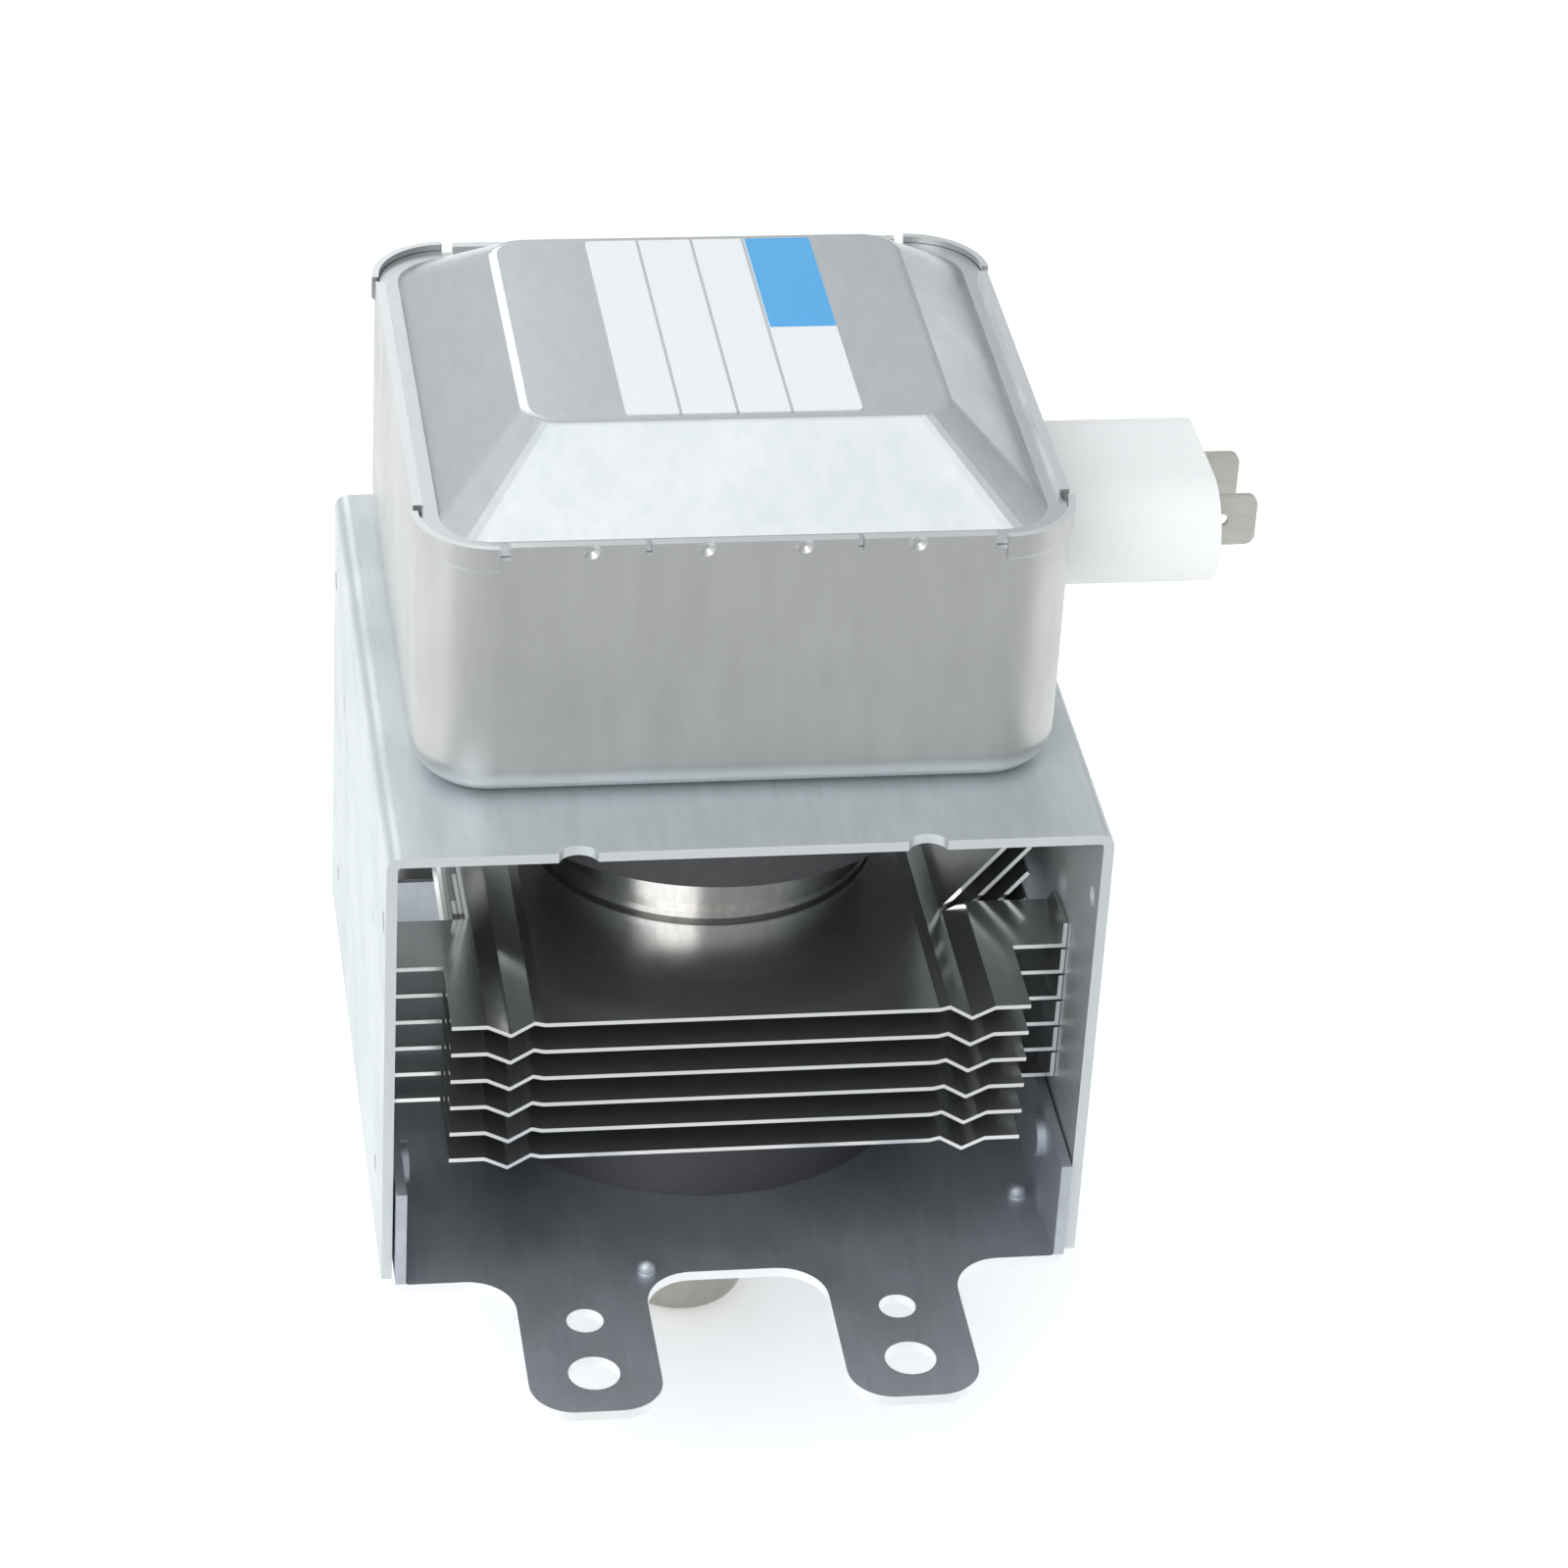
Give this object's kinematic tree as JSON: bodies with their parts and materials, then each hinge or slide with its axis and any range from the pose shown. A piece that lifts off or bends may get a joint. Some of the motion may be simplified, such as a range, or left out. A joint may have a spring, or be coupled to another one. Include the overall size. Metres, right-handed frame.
{
  "type": "magnetron",
  "caption": "Microwave-oven magnetron: tube and ring magnets in a folded steel yoke with cooling fins, a filter box with push-on terminals on top and an antenna under its mounting plate.",
  "frame": {"origin": "on the tube's axis at the underside of the mounting plate, in the middle of its fixing holes", "axes": "+Z along the tube's axis from the antenna to the filter box, +X towards the push-on terminals, -Y to the side the picture shows as the front"},
  "size_m": [0.1031, 0.1306, 0.1292],
  "materials": {
    "yoke_steel": "bright galvanised",
    "plate_steel": "galvanised, in shade",
    "box_steel": "zinc plated, drawn",
    "label_paper": "matt white with a blue field",
    "rivet_steel": "zinc plated",
    "connector_plastic": "white, glass filled",
    "terminal_tin": "tin plated",
    "capacitor_resin": "cast",
    "copper": "bare copper",
    "anode_copper": "copper with a bright plating",
    "ferrite": "ground, dark grey",
    "fin_aluminium": "bright rolled sheet",
    "pole_steel": "nickel plated",
    "tungsten": "drawn",
    "stem_alumina": "pale pink, fired",
    "white_alumina": "white, fired",
    "cap_steel": "plated, satin",
    "gasket_mesh": "knitted wire"
  },
  "bodies": {
    "root": {"upper_yoke": "yoke_steel", "lower_yoke": "plate_steel", "filter_box": "box_steel", "filter_lid": "box_steel", "rating_label": "label_paper", "box_rivets": "rivet_steel", "connector_housing": "connector_plastic", "terminal_front": "terminal_tin", "terminal_rear": "terminal_tin", "capacitor_block": "capacitor_resin", "ground_plate": "rivet_steel", "ground_rivets": "rivet_steel", "choke_coil_front": "copper", "choke_coil_rear": "copper", "choke_core_front": "ferrite", "choke_core_rear": "ferrite", "upper_magnet": "ferrite", "lower_magnet": "ferrite", "fin_1": "fin_aluminium", "fin_2": "fin_aluminium", "fin_3": "fin_aluminium", "fin_4": "fin_aluminium", "fin_5": "fin_aluminium", "fin_6": "fin_aluminium", "anode_cylinder": "anode_copper", "anode_vanes": "copper", "strap_rings": "copper", "upper_pole_piece": "pole_steel", "lower_pole_piece": "pole_steel", "filament": "tungsten", "upper_end_hat": "tungsten", "lower_end_hat": "tungsten", "centre_lead": "tungsten", "side_lead": "tungsten", "cathode_seal": "pole_steel", "stem_ceramic": "stem_alumina", "stem_terminals": "pole_steel", "antenna_seal": "pole_steel", "antenna_lead": "copper", "antenna_ceramic": "white_alumina", "exhaust_tube": "copper", "antenna_cap": "cap_steel", "gasket_ring": "rivet_steel", "mesh_gasket": "gasket_mesh"}
  },
  "joints": []
}
